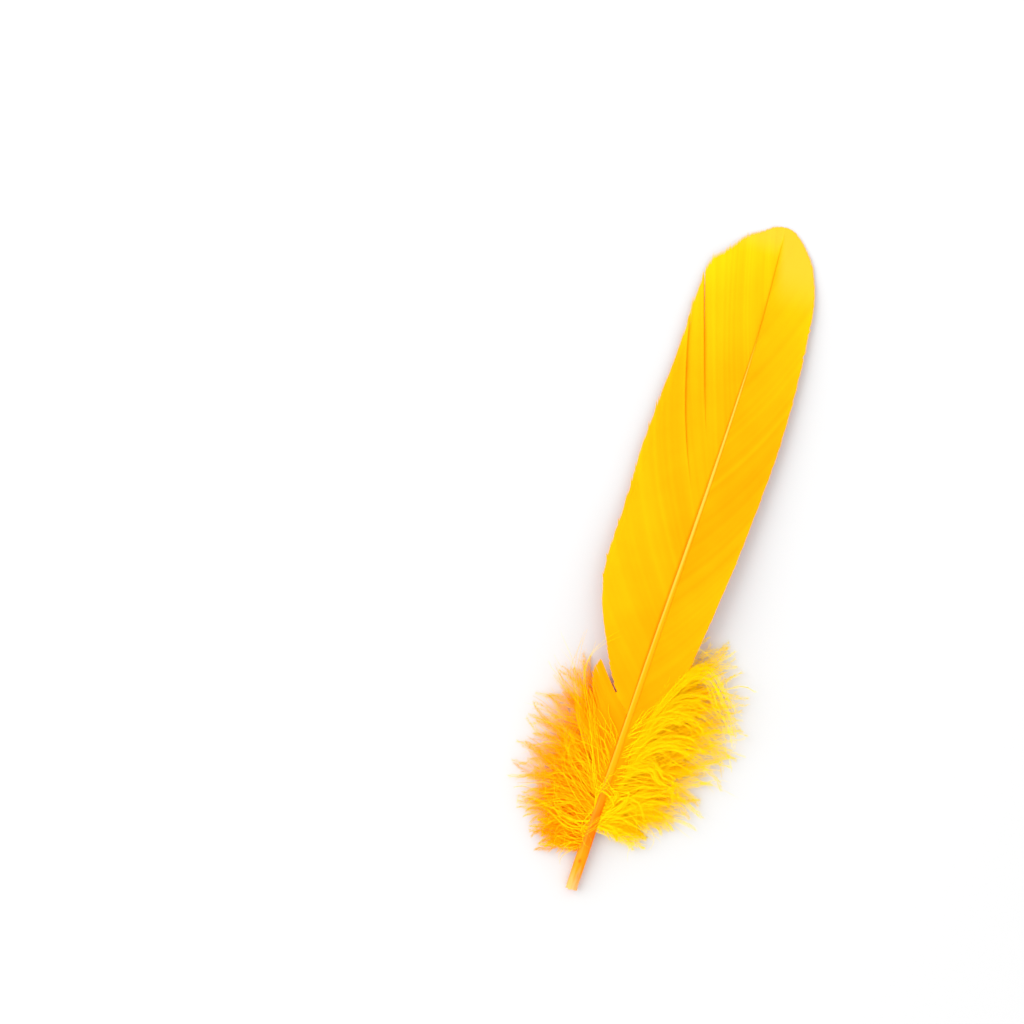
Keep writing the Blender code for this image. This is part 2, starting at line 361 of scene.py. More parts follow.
@dataclass(frozen=True)
class HornFinish:
    """Dyed quill horn: a smooth keratin tube, clear amber where it is hollow and bare.

    The bare quill took the dye darkest and glows amber, is pale at the dry cut end, and turns
    opaque where the pith fills it between the webs. There a light yellow line on its left flank
    is partly its own paler edge and partly a painted highlight of the light from the left; near
    the tip it is painted darker gold for the shade of the groove it lies in.
    """

    name: str = "dyed_quill_horn"
    cut: str = "#FFC478"
    bare: str = "#FF9E0C"
    stain: str = "#FF8406"
    flank: str = "#FFB208"
    # darker gold near the tip: painted shade of the groove the shaft lies in
    sunk: str = "#E8AA00"
    # pale line on the left flank: partly the shaft's own paler edge, partly painted highlight
    ridge: str = "#FFCC48"
    mark: str = "#A8560F"
    roughness: float = 0.36
    gloss: float = 0.04
    through: float = 0.30
    grain: float = 1.6  # fine lines of the horn in a millimetre across
    grain_stretch: float = 0.035  # the same along the horn, as a share of that
    grain_depth: float = 0.18  # strength of their bump
    grain_rise: float = 0.05  # its height, in millimetres
    band_blur: float = 0.05  # how far the grain blurs the bands, as a share of the length
    # Brown flecks: (middle, half width each way, depth at the middle), in millimetres.
    blemishes: tuple = (((-0.8, 7.7, 2.9), (0.65, 0.85, 1.4), 0.75),
                        ((-0.15, 3.9, 2.7), (0.3, 1.6, 1.2), 0.35))

    def build(self) -> Material:
        """Makes the material; it reads the shaft's own "flank" attribute for its pale line (partly
        painted highlight).
        """
        nodes = Nodes(self.name)
        place = nodes.place()
        foot = float(ORIGIN[1])
        parts = nodes.add("SeparateXYZ", {"Vector": place})
        along = nodes.ramp(parts.outputs["Y"], (foot, 0.0), (foot + LENGTH * MM, 1.0))
        streak = nodes.add("Mapping", {
            "Vector": place, "Scale": (1 / MM, self.grain_stretch / MM, 1 / MM)})
        grain = nodes.noise(streak.outputs[0], self.grain, 4.0)
        shift = nodes.maths("MULTIPLY_ADD", grain, self.band_blur, along)
        shift = nodes.maths("SUBTRACT", shift, self.band_blur / 2)
        bands = nodes.add("ValToRGB", {"Fac": shift})
        # past 0.76 the horn turns to sunk, painted darker for the shade of its groove near the tip
        stops = ((0.0, self.cut), (0.035, self.bare), (0.06, self.bare), (0.08, self.stain),
                 (0.115, self.stain), (0.175, self.flank), (0.76, self.flank), (0.84, self.sunk))
        elements = bands.color_ramp.elements
        while len(elements) < len(stops):
            elements.new(0.5)
        for element, (position, colour) in zip(elements, stops):
            element.position = position
            element.color = linear(colour)
        colour = self.ridge_pale_line_and_highlight(nodes, bands.outputs[0], along)
        for fleck in self.blemishes:
            colour = self.blemish(nodes, colour, place, fleck)
        return nodes.horn(self, colour, nodes.relief(grain, self.grain_depth, self.grain_rise))

    def ridge_pale_line_and_highlight(self, nodes: Nodes, colour: Socket, along: Socket) -> Socket:
        """Lays the pale line on the shaft's left flank, wider towards the tip: partly the shaft's
        own paler edge, partly a painted highlight of the light from the left.

        Args:
            nodes: The material's nodes.
            colour: The colour under it.
            along: The share of the feather's length.

        Returns:
            The colour with the line.
        """
        edge = nodes.ramp(along, (0.38, -0.25), (0.60, 0.40))
        past = nodes.maths("SUBTRACT", nodes.own("flank"), edge)
        share = nodes.ramp(past, (-0.12, 1.0), (0.12, 0.0))
        for start, end in (((0.14, 0.15), (0.60, 0.85)), ((0.74, 1.0), (0.84, 0.0))):
            share = nodes.maths("MULTIPLY", share, nodes.ramp(along, start, end))
        return nodes.mixed(share, colour, linear(self.ridge))

    def blemish(self, nodes: Nodes, colour: Socket, place: Socket, fleck: tuple) -> Socket:
        """Darkens one small brown fleck of the horn.

        Args:
            nodes: The material's nodes.
            colour: The colour under it.
            place: Object coordinates.
            fleck: One of the blemishes.

        Returns:
            The colour with the fleck.
        """
        spot, size, depth = fleck
        off = nodes.add("VectorMath", {0: place, 1: world(np.array(spot))}, operation="SUBTRACT")
        shrunk = nodes.add("VectorMath", {0: off.outputs[0], 1: [1 / (MM * k) for k in size]},
                           operation="MULTIPLY")
        away = nodes.add("VectorMath", {0: shrunk.outputs[0]}, operation="LENGTH")
        near = nodes.ramp(away.outputs["Value"], (0.35, depth), (1.0, 0.0))
        return nodes.mixed(near, colour, linear(self.mark))


@dataclass(frozen=True)
class PaperFinish:
    """Matt white paper: no gloss, and a very faint tooth."""

    name: str = "white_paper"
    colour: str = "#C6C6C6"
    roughness: float = 0.9
    gloss: float = 0.1
    tooth_mm: float = 0.6
    tooth_depth: float = 0.03  # strength of its bump
    tooth_rise: float = 0.05  # its height, in millimetres

    def build(self) -> Material:
        """Makes the material."""
        nodes = Nodes(self.name)
        tooth = nodes.noise(nodes.place(), 1 / (self.tooth_mm * MM), 2.0)
        relief = nodes.relief(tooth, self.tooth_depth, self.tooth_rise)
        return nodes.close(nodes.add("BsdfPrincipled", {
            "Base Color": linear(self.colour), "Roughness": self.roughness,
            "Specular IOR Level": self.gloss, **relief}))


WEB_FINISH = BarbFinish("dyed_web_barbs", deep="#FF9400", bright="#FFC80A", thin="#FFC02C",
                        gloss=0.015)
DOWN_FINISH = BarbFinish("dyed_down_barbs", deep="#FFC200", bright="#FFEF0C",
                         roughness=0.7, through=0.45, barbule_depth=0.0)


# ---- The shaft ----


@dataclass(frozen=True)
class ShaftLine:
    """Where the shaft runs and how thick it is, in millimetres, as in the solids."""

    end: float = 172.0
    course: tuple = ((0, -0.65), (30, -0.35), (60, 0.1), (95, 0.95), (125, 1.55), (148, 1.6),
                     (172, 0.5))
    taper: tuple = ((0, 1.42), (9, 1.5), (22, 1.4), (40, 1.15), (66, 1.05), (95, 0.72), (125, 0.46),
                    (150, 0.3), (172, 0.18))
    arch: float = 5.6  # rise of its middle over the line between its ends
    end_lift: float = 0.95  # height of its centre at the cut end, as a share of the radius
    tip_height: float = 0.2  # the same at the tip, in millimetres
    attach: float = 0.75  # height of the webs on it, as a share of the radius
    camber: float = 0.62  # share of its height that the margin of a web drops
    camber_least: float = 0.2  # the same as a share of camber, where the down holds the webs up
    camber_start: float = 45.0
    camber_full: float = 100.0
    camber_reach: float = 17.0  # distance out at which the drop is whole
    margin_height: float = 0.5
    groove_depth: float = 0.35  # how far it has sunk below the webs near the tip

    def across(self, along: Array) -> Array:
        """Sideways place of the shaft's centre."""
        return smooth(self.course, along)

    def radius(self, along: Array) -> Array:
        """Radius of the shaft."""
        return smooth(self.taper, along)

    def height(self, along: Array) -> Array:
        """Height of the shaft's centre over the surface."""
        start = self.end_lift * self.taper[0][1]
        share = np.clip(np.asarray(along, float) / self.end, 0.0, 1.0)
        return start + (self.tip_height - start) * share + self.arch * np.sin(np.pi * share)

    def groove(self, along: Array) -> Array:
        """How far the shaft has sunk below the webs near the tip."""
        return self.groove_depth * ease(136, 148, along)

    def web_height(self, across: Array, along: Array) -> Array:
        """Height of a web: level with the shaft there, falling to the margin.

        Args:
            across: Places across.
            along: The same places along.

        Returns:
            The heights there.
        """
        near = np.minimum(along, self.end)
        top = self.height(near) + self.attach * self.radius(near)
        reach = np.minimum(np.abs(across - self.across(near)) / self.camber_reach, 1.0)
        held = (along - self.camber_start) / (self.camber_full - self.camber_start)
        drop = self.camber * np.clip(held, self.camber_least, 1.0)
        return top - drop * (top - self.margin_height) * reach**2


def deselect_all() -> None:
    """Leaves nothing selected or active, in object mode."""
    if bpy.context.object and bpy.context.object.mode != "OBJECT":
        bpy.ops.object.mode_set(mode="OBJECT")
    bpy.ops.object.select_all(action="DESELECT")
    bpy.context.view_layer.objects.active = None


def settle(item: Object) -> None:
    """Puts an object at the origin, unturned and unscaled, with its place in its mesh."""
    deselect_all()
    item.select_set(True)
    bpy.context.view_layer.objects.active = item
    bpy.ops.object.transform_apply(location=True, rotation=True, scale=True)


def place_piece(item: Object, node: str, finish: Material) -> None:
    """Dresses a piece and says what it is.

    Args:
        item: The piece.
        node: The solid that it stands for.
        finish: Its material.
    """
    item.data.materials.clear()
    item.data.materials.append(finish)
    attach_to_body(item, ROOT_BODY)
    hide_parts(node)
    item.data.calc_loop_triangles()
    LOG.info("%s: %d triangles", item.name, len(item.data.loop_triangles))


@dataclass
class QuillShaft:
    """The horny shaft: a bare hollow quill that becomes the ridge between the webs."""

    line: ShaftLine
    sides: int = 20
    stations: tuple = (0.13, 1.2, 3, 6, 10, 15, 20, 25, 30, 36, 43, 51, 60, 70, 80, 90, 100, 110,
                       120, 130, 139, 147, 154, 160, 165, 169, 172)
    depth_share: tuple = ((0, 1.0), (25, 1.0), (50, 0.95), (100, 0.95), (150, 0.9), (172, 0.8))
    clearance: float = 0.02  # least height of its surface over the paper
    wall: float = 0.3
    hollow_to: float = 33.0
    blunt: float = 2.0  # length of the hollow's closing end
    fray: float = 0.35  # how rough the cut is
    fray_seed: int = 4

    def centre(self, along: float) -> Vector:
        """The shaft's centre in the row's frame."""
        lowest = self.line.radius(along) * smooth(self.depth_share, along) + 1.5 * self.clearance
        height = max(float(self.line.height(along) - self.line.groove(along)), float(lowest))
        return Vector(world(np.array([self.line.across(along), along, height], float)))

    def build(self) -> Object:
        """Models the shaft.

        Returns:
            One closed solid, its ring carried from the cut end to the tip, and back from the
            cut end up the hollow of the quill.
        """
        deselect_all()
        first = self.stations[0]
        bpy.ops.mesh.primitive_circle_add(
            vertices=self.sides, radius=float(self.line.radius(first)) * MM, fill_type="NOTHING",
            location=self.centre(first), rotation=(math.pi / 2, 0, 0))
        shaft = bpy.context.object
        shaft.name = shaft.data.name = "quill_horn"
        settle(shaft)
        bpy.ops.object.mode_set(mode="EDIT")
        bpy.ops.mesh.select_all(action="SELECT")
        self.carry(self.stations)
        bpy.ops.mesh.merge(type="CENTER")
        bpy.ops.object.mode_set(mode="OBJECT")
        for vertex in shaft.data.vertices:
            vertex.select = abs(vertex.co.y - self.centre(first).y) < 0.01 * MM
        bpy.ops.object.mode_set(mode="EDIT")
        self.hollow()
        bpy.ops.mesh.select_all(action="SELECT")
        bpy.ops.mesh.normals_make_consistent(inside=False)
        bpy.ops.object.mode_set(mode="OBJECT")
        bpy.ops.object.shade_smooth_by_angle(angle=math.radians(40))
        for vertex in shaft.data.vertices:
            vertex.co.z = max(vertex.co.z, self.clearance * MM)
        x, y = np.array([(vertex.co - Vector(ORIGIN)) / MM for vertex in shaft.data.vertices]).T[:2]
        shaft.data.attributes.new("flank", "FLOAT", "POINT").data.foreach_set(
            "value", (x - self.line.across(y)) / self.line.radius(y))
        return shaft

    def carry(self, stations: tuple) -> None:
        """Extrudes the selected ring from station to station.

        Args:
            stations: Distances along the shaft; the ring stands at the first.
        """
        for here, there in zip(stations, stations[1:]):
            a, b = self.centre(here), self.centre(there)
            bpy.ops.mesh.extrude_region_move(TRANSFORM_OT_translate={"value": b - a})
            size = float(self.line.radius(there) / self.line.radius(here))
            tall = float(smooth(self.depth_share, there) / smooth(self.depth_share, here))
            bpy.ops.transform.resize(value=(size, 1.0, size * tall), center_override=b)

    def hollow(self) -> None:
        """Turns the ring at the cut end inwards and carries it up the quill to a blunt end."""
        first = self.stations[0]
        radius = float(self.line.radius(first))
        share = (radius - self.wall) / radius
        bpy.ops.transform.vertex_random(offset=self.fray * MM, uniform=0.0, normal=0.0,
                                        seed=self.fray_seed)
        bpy.ops.mesh.extrude_region_move(TRANSFORM_OT_translate={"value": (0, 0, 0)})
        bpy.ops.transform.resize(value=(share, 1.0, share), center_override=self.centre(first))
        inner = tuple(s for s in self.stations if s < self.hollow_to)
        self.carry(inner)
        closing = Vector((0, self.blunt * MM, 0))
        bpy.ops.mesh.extrude_region_move(TRANSFORM_OT_translate={"value": closing})
        bpy.ops.transform.resize(value=(0.5, 1.0, 0.5),
                                 center_override=self.centre(inner[-1]) + closing)
        bpy.ops.mesh.merge(type="CENTER")


# ---- The webs ----


@dataclass(frozen=True)
class Split:
    """A split of a web along its barbs, in millimetres."""

    root: float  # where on the shaft the barbs part
    blind: float  # how far out along the barb it starts, as a share of the barb
    lift: float  # how far the lower lip rises
    shift: Pair  # how far that lip moves at the margin: outwards, along
    sink: float  # how far the upper lip drops
    grip: float  # over how much of the shaft the barbs beside it follow it


@dataclass
class Web:
    """One web: barbs hooked side by side, from the shaft's side to the margin."""

    name: str
    side: Side
    line: ShaftLine
    rows: tuple
    bow: tuple
    splits: tuple = ()
    seed: int = 1
    thin_from: Pair = (0.88, 0.95)  # share of the length where barbs get thin
    loose: tuple = ((22, 1.0), (34, 0.55), (46, 0.1), (60, 0.0))
    paling: tuple = ((0, 0.07), (0.3, 0.19), (0.5, 0.32), (0.75, 0.35), (0.87, 0.56), (1, 0.85))
    barbs: int = 336
    stations: int = 27
    thickness: float = 0.045
    lap: float = 1.5  # width of a barb, as a share of the space it has
    ripple: float = 0.07  # how far barbs lie higher or lower than their neighbours
    uneven: float = 0.004  # how much they differ in length, as a share of it
    stray: float = 0.018  # the same for one barb in sixteen, which stands out
    seat_share: float = 0.66  # how far out on the shaft they stand, as a share of its radius

    def rows_at(self, roots: Array) -> tuple[Array, Array]:
        """Where barbs end.

        Args:
            roots: Their roots along the shaft.

        Returns:
            Their ends across and along.
        """
        table = np.array(self.rows, float)
        number = np.arange(len(table))
        fine = np.linspace(0, len(table) - 1, 600)
        share = np.interp(roots, smooth(tuple(zip(number, table[:, 0])), fine), fine)
        return tuple(smooth(tuple(zip(number, table[:, c])), share) for c in (1, 2))

    def centres(self) -> tuple[Array, Array, Array]:
        """Lays the barbs.

        Returns:
            Their middle lines (barb, station, 3), their roots, and the shares along them.
        """
        rng = np.random.default_rng(self.seed)
        side = self.side.value
        roots = np.linspace(self.rows[0][0], self.rows[-1][0], self.barbs)
        tip_across, tip_along = self.rows_at(roots)
        start = self.line.across(roots) + side * self.line.radius(roots) * self.seat(roots)
        t = np.linspace(0, 1, self.stations)[None, :]
        length = 1 + self.uneven * (drift(rng, self.barbs, 0.8) + drift(rng, self.barbs, 7))
        length = length + self.stray * (rng.random(self.barbs) > 0.94)
        run = t * length[:, None]
        reach = (tip_along - roots)[:, None]
        across = start[:, None] + (tip_across - start)[:, None] * run
        across = across + side * smooth(self.bow, roots)[:, None] * reach * np.sin(np.pi * t)
        along = roots[:, None] + reach * run
        height = self.line.web_height(across, along)
        height = height - self.line.groove(roots)[:, None] * np.exp(-t / 0.05)
        grid = np.stack([across, along, height], axis=-1)
        lean = drift(rng, self.barbs, 2.5) * 0.4 + drift(rng, self.barbs, 10)
        grid[..., 2] += self.ripple * lean[:, None] * ease(0.05, 0.6, t)
        for split in self.splits:
            self.part(grid, roots, t, split)
        self.loosen(grid, roots, t, rng)
        return grid, roots, t

    def seat(self, roots: Array) -> Array:
        """How far out on the shaft the barbs stand, as a share of its radius."""
        return self.seat_share * (1 - ease(136, 146, roots))

    def part(self, grid: Array, roots: Array, t: Array, split: Split) -> None:
        """Opens one split: the barbs below it rise over those above it.

        Args:
            grid: The barbs' middle lines, which it moves.
            roots: Their roots along the shaft.
            t: The shares along a barb.
            split: The split.
        """
        away = roots - split.root
        below = np.where(away < 0, np.exp(away / split.grip), 0.0)[:, None]
        above = np.where(away >= 0, np.exp(-away / split.grip), 0.0)[:, None]
        opened = ease(split.blind, 0.75, t)
        arch = opened * (1 - 0.45 * ease(0.7, 1.0, t))
        grid[..., 2] += arch * (split.lift * below - split.sink * above)
        grid[..., 0] += self.side.value * opened * split.shift[0] * below
        grid[..., 1] += opened * split.shift[1] * below

    def loosen(self, grid: Array, roots: Array, t: Array, rng: Random) -> None:
        """Lets the outer ends of the lowest barbs wander, as their hooks are missing.

        Args:
            grid: The barbs' middle lines, which it moves.
            roots: Their roots along the shaft.
            t: The shares along a barb.
            rng: The source of the wandering.
        """
        free = (smooth(self.loose, roots)[:, None] * ease(0.35, 1.0, t))[..., None]
        clump = np.stack([drift(rng, self.barbs, 2.0) for _ in range(3)], axis=-1)
        alone = rng.normal(size=(self.barbs, 3))
        wander = (1.1 * clump + 0.6 * alone)[:, None, :] * np.array([1.0, 1.2, 0.35])
        grid += free * wander
        grid[..., 2] = np.maximum(grid[..., 2], 0.15)

    def build(self) -> Object:
        """Makes the web.

        Returns:
            One object of closed barbs, each a thin lens that laps the next like a shingle.
        """
        grid, roots, t = self.centres()
        tangent = unit(np.gradient(grid, axis=1))
        step = np.gradient(grid, axis=0)
        sideways = step - tangent * (step * tangent).sum(-1, keepdims=True)
        flat = np.cross(np.array([0, 0, 1.0]), tangent) * self.side.value
        gap = np.maximum(np.linalg.norm(sideways, axis=-1, keepdims=True), 0.05)
        lateral = unit(sideways * 0.35 / gap + unit(flat))
        spacing = np.clip((sideways * lateral).sum(-1), 0.10, 0.42)
        normal = np.cross(tangent, lateral) * self.side.value
        loose = smooth(self.loose, roots)[:, None] * ease(0.4, 0.9, t)
        point = (1 - ease(0.96, 1.0, t) * 0.7) * (1 - 0.45 * loose)
        half = (0.5 * self.lap * spacing * point)[..., None]
        rise = self.thickness / 2
        edge = rise * 0.7
        corners = [grid - lateral * half - normal * edge,
                   grid + normal * rise - lateral * half * 0.1,
                   grid + lateral * half + normal * edge,
                   grid - normal * rise + lateral * half * 0.1]
        on_rim = [True, False, True, False]
        turn = self.side.value   # keeps the faces of both webs outwards
        points, faces = tubes(np.stack(corners[::turn], axis=2))
        rng = np.random.default_rng(self.seed + 50)
        tone = 0.035 * drift(rng, self.barbs, 1.2) + 0.04 * drift(rng, self.barbs, 8)
        # painted shade near the shaft and painted light towards the margin, by the share along each
        # barb
        tone = tone[:, None] + 0.16 * (t - 0.45) + smooth(self.paling, grid[..., 1] / LENGTH)
        # painted light: the outer ends of the barbs past the down are lighter still
        tone = tone + 0.11 * ease(0.82, 1.0, t) * ease(40, 70, roots)[:, None]
        run = np.broadcast_to(t * (grid[:, -1, 1] - roots)[:, None] * 1.1, tone.shape)
        thin = ease(*self.thin_from, grid[..., 1] / LENGTH) * ease(0.05, 0.5, t)
        marks = {"tone": self.spread(tone), "run": self.spread(run), "thin": self.spread(thin)}
        rims = np.append(np.tile(on_rim[::turn], self.stations - 1), True)
        return mesh_object(self.name, points, faces, marks, np.tile(rims, self.barbs))

    def spread(self, values: Array) -> Array:
        """Repeats a value of each station for the four corners of its ring, one at the tip."""
        rings = np.repeat(values[:, :-1], 4, axis=1)
        return np.concatenate([rings, values[:, -1:]], axis=1)


# ---- The down ----


@dataclass(frozen=True)
class Lock:
    """A lock of down: barbs that leave the shaft together and curl the same way."""

    path: tuple  # guide points (across, along, height) from the shaft outwards
    barbs: int
    spread: float  # how far apart the barbs end, in millimetres


def locks(*rows: tuple) -> tuple[Lock, ...]:
    """The locks of a table whose rows are (barbs, spread, guide point, guide point, ...)."""
    return tuple(Lock(row[2:], row[0], row[1]) for row in rows)


@dataclass(frozen=True)
class Fan:
    """Barbs that spread at random from a stretch of the shaft, by share of that stretch."""

    roots: Pair  # first and last root along the shaft, in millimetres
    barbs: int
    length: tuple  # (share, millimetres)
    leave: tuple = ((0, 85.0), (1, 36.0))  # angle off the shaft at the root: (share, degrees)
    finish: tuple = ((0, 118.0), (1, 50.0))  # the same at the end
    crest: float = 1.6  # how high they arch, in millimetres
    curl: float = 0.28  # how much they wave, in radians
    scatter: float = 26.0  # how far their ends stray, in degrees


@dataclass
class Tuft:
    """Loose downy barbs on one side of the quill, each with two rows of fine barbules."""

    name: str
    side: Side
    line: ShaftLine
    fan: Fan
    locks: tuple = ()
    level: float = 0.0  # height of the roots off the shaft's centre, in radii
    stations: int = 18
    barbules: int = 88  # in each of a barb's two rows
    fan_barbule: float = 2.2  # their length in the fan, in millimetres
    lock_barbule: float = 1.25  # the same in the locks
    barbule_width: float = 0.055  # real ones are 0.01 mm, drawn as coarse as shows
    core: float = 0.08  # radius of a barb at its root
    tone: float = 0.5
    lock_tone: float = 0.3  # how much brighter the locks are
    seed: int = 11

    @property
    def barbs(self) -> int:
        """How many barbs the tuft has."""
        return self.fan.barbs + sum(lock.barbs for lock in self.locks)

    def fan_centres(self, rng: Random) -> Array:
        """The fan's middle lines.

        Args:
            rng: The source of their scatter.

        Returns:
            Points (barb, station, 3).
        """
        fan, count = self.fan, self.fan.barbs
        share = (np.arange(count) + rng.random(count)) / count
        root = fan.roots[0] + (fan.roots[1] - fan.roots[0]) * share
        length = smooth(fan.length, share) * (0.6 + 0.5 * rng.random(count))
        leave = np.radians(smooth(fan.leave, share) + 9 * rng.normal(size=count))
        finish = np.radians(smooth(fan.finish, share) + fan.scatter * rng.normal(size=count))
        t = np.linspace(0, 1, self.stations)[None, :]
        waves = 1.2 + 2.2 * rng.random((count, 1))
        waver = fan.curl * rng.normal(size=(count, 1)) * np.sin(t * np.pi * waves) * t
        angle = leave[:, None] + (finish - leave)[:, None] * t**1.4 + waver
        step = length[:, None] / (self.stations - 1)
        across = (np.cumsum(np.sin(angle), axis=1) - np.sin(angle[:, :1])) * step
        along = (np.cumsum(np.cos(angle), axis=1) - np.cos(angle[:, :1])) * step
        side = self.side.value
        start = self.line.across(root) + side * self.line.radius(root) * 0.6
        foot = (self.line.height(root) + self.level * self.line.radius(root))[:, None]
        end = (0.4 + 1.8 * rng.random(count))[:, None]
        crest = (fan.crest * (0.3 + rng.random(count)))[:, None]
        height = foot + (end - foot) * t + crest * np.sin(np.pi * t) * (1 - 0.4 * t)
        return np.stack([start[:, None] + side * across, root[:, None] + along, height], axis=-1)

    def lock_centres(self, rng: Random, lock: Lock) -> Array:
        """One lock's middle lines.

        Args:
            rng: The source of their scatter.
            lock: The lock.

        Returns:
            Points (barb, station, 3).
        """
        guide = np.array(lock.path, float)
        run = np.append(0, np.cumsum(np.linalg.norm(np.diff(guide, axis=0), axis=1)))
        run /= run[-1]
        share = 0.62 + 0.38 * rng.random((lock.barbs, 1))
        share = np.linspace(0, 1, self.stations)[None, :] * share
        grid = np.stack([smooth(tuple(zip(run, guide[:, c])), share) for c in range(3)], axis=-1)
        offset = rng.normal(size=(lock.barbs, 1, 3)) * np.array([1.0, 1.0, 0.35])
        grid += offset * lock.spread * share[..., None] ** 1.5
        grid[..., 1] += 1.2 * rng.normal(size=(lock.barbs, 1))
        phase = math.tau * rng.random((lock.barbs, 1))
        for axis, depth in ((0, 0.5), (1, 0.5), (2, 0.25)):
            waves = 1.5 + 2.5 * rng.random((lock.barbs, 1))
            grid[..., axis] += depth * np.sin(phase + axis + math.tau * waves * share) * share
        return grid

    def build(self) -> Object:
        """Makes the tuft.

        Returns:
            One object of closed strands: a thin core for each barb, and bent spindles for its
            barbules.
        """
        rng = np.random.default_rng(self.seed)
        lines = [self.fan_centres(rng), *(self.lock_centres(rng, lock) for lock in self.locks)]
        grid = np.concatenate(lines)
        grid[..., 2] = np.maximum(grid[..., 2], 0.25)
        in_lock = (np.arange(self.barbs) >= self.fan.barbs).astype(float)[:, None]
        tangent = unit(np.gradient(grid, axis=1))
        lateral = unit(np.cross(tangent, np.array([0, 0, 1.0])))
        normal = np.cross(lateral, tangent)
        t = np.linspace(0, 1, self.stations)
        radius = (self.core * (1 - 0.8 * t))[None, :, None]
        turns = np.arange(3) * math.tau / 3
        rings = np.stack([grid + radius * (math.cos(a) * lateral + math.sin(a) * normal)
                          for a in turns], axis=2)
        core, core_faces = tubes(rings)
        hairs, hair_faces = self.barbule_arrays(rng, (grid, tangent, lateral, normal), in_lock)
        triangles = np.concatenate([core_faces[1], core_faces[2], hair_faces + len(core)])
        points = np.concatenate([core, hairs])
        tone = self.tone + 0.15 * rng.normal(size=self.barbs)
        tone = tone + self.lock_tone * in_lock[:, 0]
        tones = [np.repeat(tone, len(part) // self.barbs) for part in (core, hairs)]
        marks = {"tone": np.concatenate(tones), "run": points[:, 1]}
        return mesh_object(self.name, points, [core_faces[0], triangles], marks)

    def barbule_arrays(self, rng: Random, lines: tuple, in_lock: Array) -> tuple[Array, Array]:
        """The barbules of every barb.

        Args:
            rng: The source of their scatter.
            lines: The barbs' middle lines, and their directions ahead, sideways and upwards.
            in_lock: For each barb, 1 where it belongs to a lock and 0 in the fan.

        Returns:
            Vertices, five for each spindle, and its six triangles.
        """
        shape = (self.barbs, 2 * self.barbules)
        t = np.tile(np.linspace(0.04, 1.0, self.barbules), 2) + 0.004 * rng.normal(size=shape)
        t = np.clip(t, 0.0, 1.0) * (self.stations - 1)
        i = np.minimum(t.astype(int), self.stations - 2)
        f = (t - i)[..., None]
        row = np.arange(self.barbs)[:, None]
        base, ahead, out, up = (v[row, i] * (1 - f) + v[row, i + 1] * f for v in lines)
        ahead, out, up = unit(ahead), unit(out), unit(up)
        t = t / (self.stations - 1)
        hand = np.where(np.arange(2 * self.barbules) < self.barbules, 1.0, -1.0)[None, :]
        clump = np.repeat(rng.normal(size=(self.barbs, self.barbules // 4 + 1)), 8, axis=1)
        open_angle = 60 - 32 * t - (26 - 10 * t) * in_lock + 7 * rng.normal(size=shape)
        open_angle = np.radians(open_angle + 8 * clump[:, :2 * self.barbules])
        tilt = np.radians(36) * rng.normal(size=shape)
        away = hand[..., None] * out * np.cos(tilt)[..., None] + up * np.sin(tilt)[..., None]
        heading = np.cos(open_angle)[..., None] * ahead + np.sin(open_angle)[..., None] * away
        long = self.fan_barbule + (self.lock_barbule - self.fan_barbule) * in_lock
        long = long * (0.35 + 0.65 * np.sin(np.pi * (0.1 + 0.8 * t))) * (1 - 0.5 * t**2)
        long = (long * (0.7 + 0.6 * rng.random(shape)))[..., None]
        end = base + heading * long + ahead * long * 0.22
        middle = base + heading * long * 0.45
        end[..., 2] = np.maximum(end[..., 2], 0.08)
        middle[..., 2] = np.maximum(middle[..., 2], 0.1)
        wide = unit(np.cross(heading, up)) * self.barbule_width / 2
        deep = up * self.barbule_width / 2
        ring = [middle + wide, middle - 0.5 * wide + deep, middle - 0.5 * wide - deep]
        points = np.stack([base, *ring, end], axis=2).reshape(-1, 3)
        first = (np.arange(len(points) // 5) * 5)[:, None, None]
        pattern = np.array([[0, 1, 2], [0, 2, 3], [0, 3, 1], [4, 2, 1], [4, 3, 2], [4, 1, 3]])[None]
        return points, (first + pattern).reshape(-1, 3)


# ---- The feather and its studio ----

# Where barbs end: (root along the shaft, end across, end along), by some of the barbs of a web.
# The bows: (root along, how far the barb bulges, as a share of its reach along).
LEFT_ROWS = (
    (24, -4.6, 32.5), (28, -7.2, 40), (33, -9.4, 45.5), (38, -11.4, 50.5), (43, -12.2, 54.8),
    (46.1, -11.5, 57.5), (46.2, -11.4, 57.7), (46.4, -3.4, 48.4), (46.5, -3.9, 49.0),
    (48, -8.2, 55.9), (49.4, -10.2, 59.8), (51.2, -12.2, 63.9), (53.4, -14.2, 68.2),
    (56, -16.0, 73), (60.6, -17.6, 82), (68, -17.5, 94), (76, -17.6, 108), (86, -17.2, 124),
    (94.5, -16.5, 141), (107.6, -16.4, 156.8), (109.4, -15.8, 160.2), (114, -14.8, 162.8),
    (120, -12.6, 165.2), (127, -10.6, 167.7), (136, -8.3, 170.3), (150, -4.6, 172.9),
    (164, -1.7, 174.6), (171.6, 0.5, 174.9))
LEFT_BOW = (
    (24, 0.1), (40, 0.05), (47, 0.03), (60, 0.05), (75, 0.05), (99, 0.042), (111, 0.008),
    (130, 0.02), (172, 0.01))
RIGHT_ROWS = (
    (24, 4.2, 33), (32, 6.2, 43.5), (40, 8.8, 53), (49, 10.7, 64), (60, 12.4, 78), (73, 14.0, 94),
    (88, 15.1, 112), (104, 15.3, 130), (119, 14.5, 146), (132, 12.8, 159), (142, 10.3, 166.3),
    (152, 7.3, 170.8), (161, 4.2, 173.6), (167, 2.0, 174.8), (171.6, 0.2, 174.9))
RIGHT_BOW = (
    (24, 0.08), (50, 0.05), (110, 0.04), (172, 0.015))

